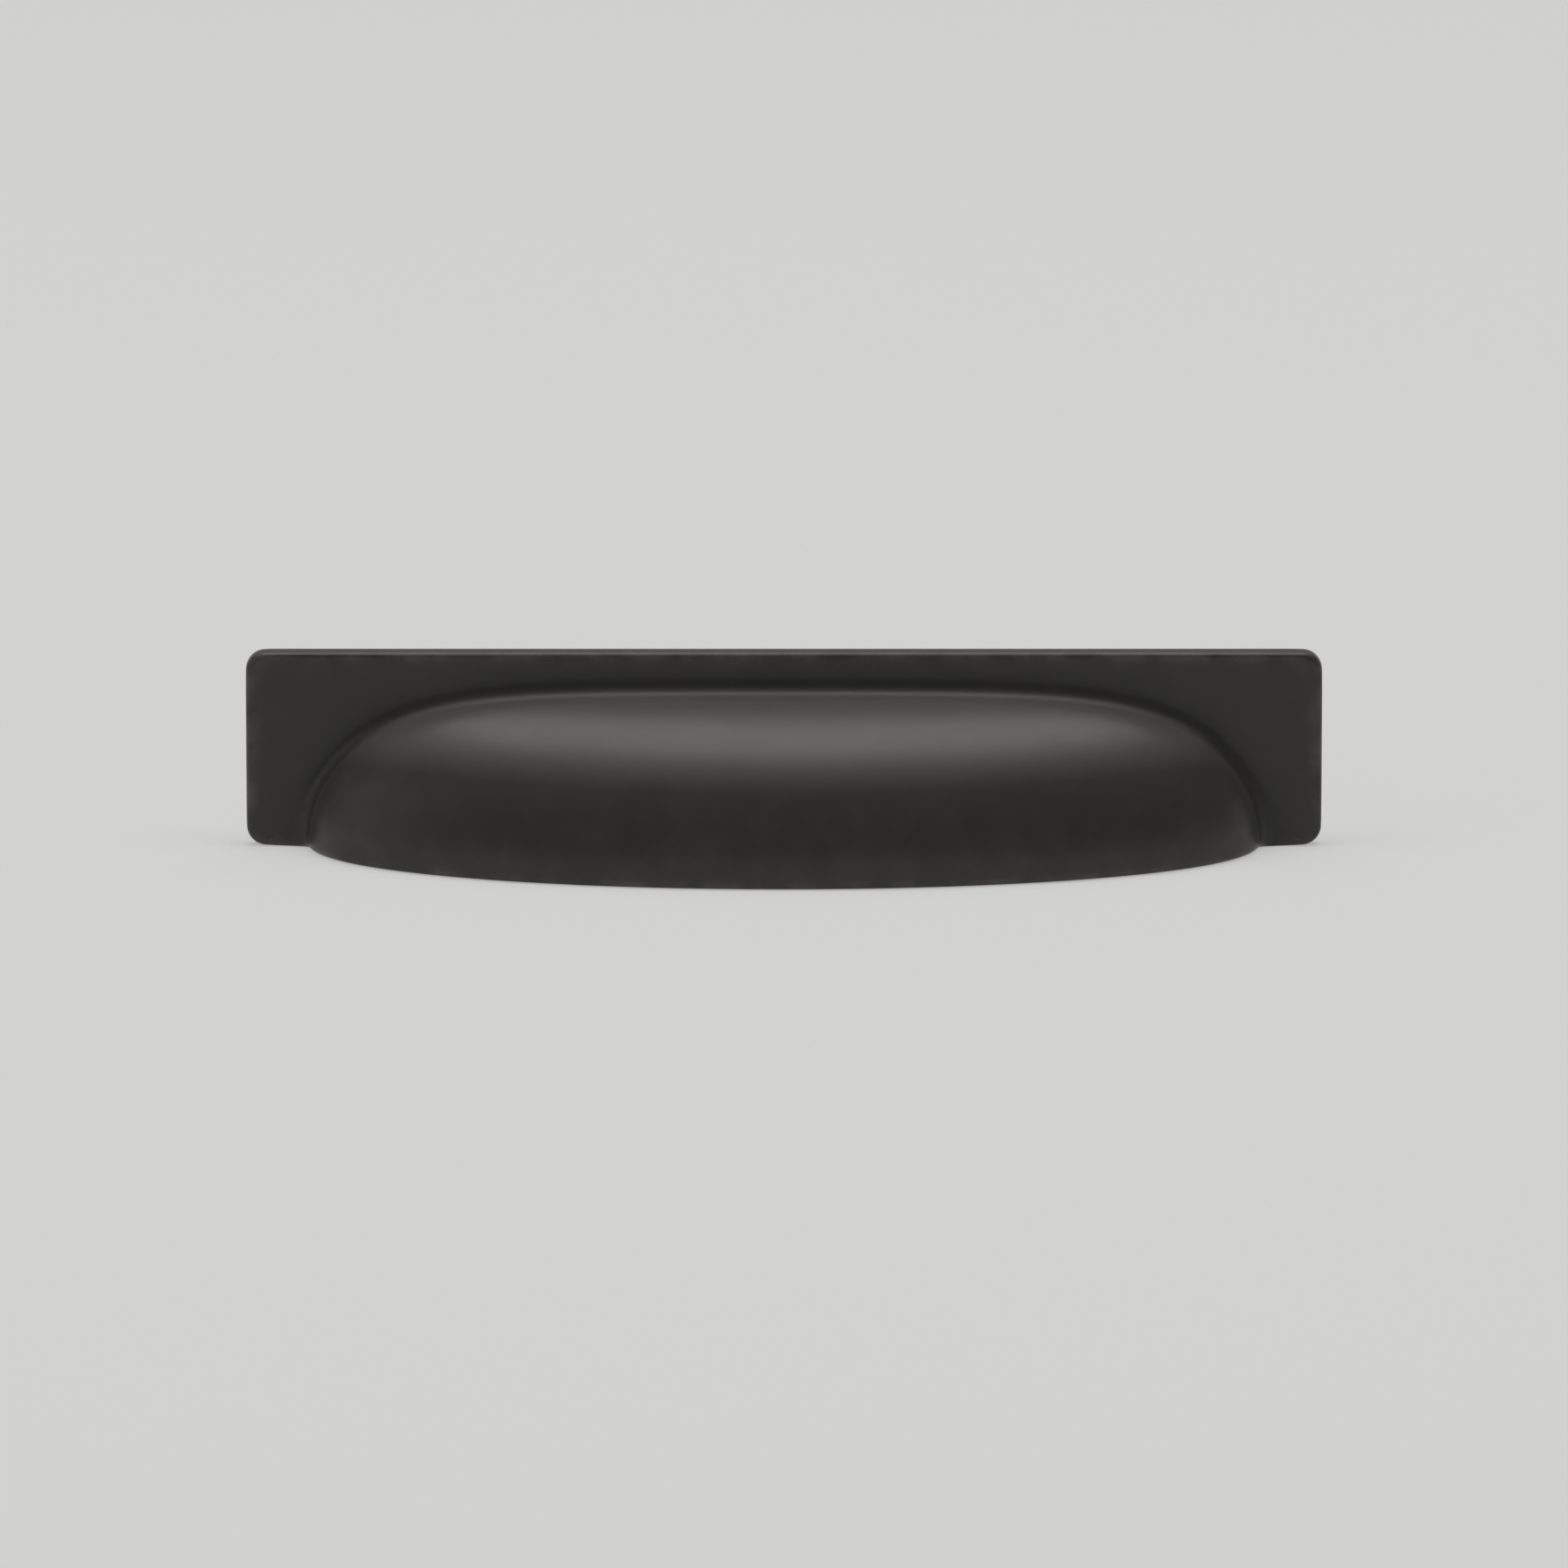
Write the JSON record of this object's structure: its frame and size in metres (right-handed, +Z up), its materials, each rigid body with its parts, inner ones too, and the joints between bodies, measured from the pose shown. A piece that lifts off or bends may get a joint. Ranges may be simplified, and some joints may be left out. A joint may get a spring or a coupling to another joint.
{
  "type": "cup pull",
  "caption": "Dark bronze cup pull: an elliptical hood open below and behind, cast in one with a flat rectangular backplate and tapped fixing bosses.",
  "frame": {"origin": "middle of the backplate's back face, halfway between the two fixing holes", "axes": "+X along the plate to the right, +Y out of the back face into the drawer front, +Z up"},
  "size_m": [0.146, 0.0275, 0.027],
  "materials": {
    "bronze": "satin"
  },
  "bodies": {
    "root": {"cup_pull": "bronze"}
  },
  "joints": []
}
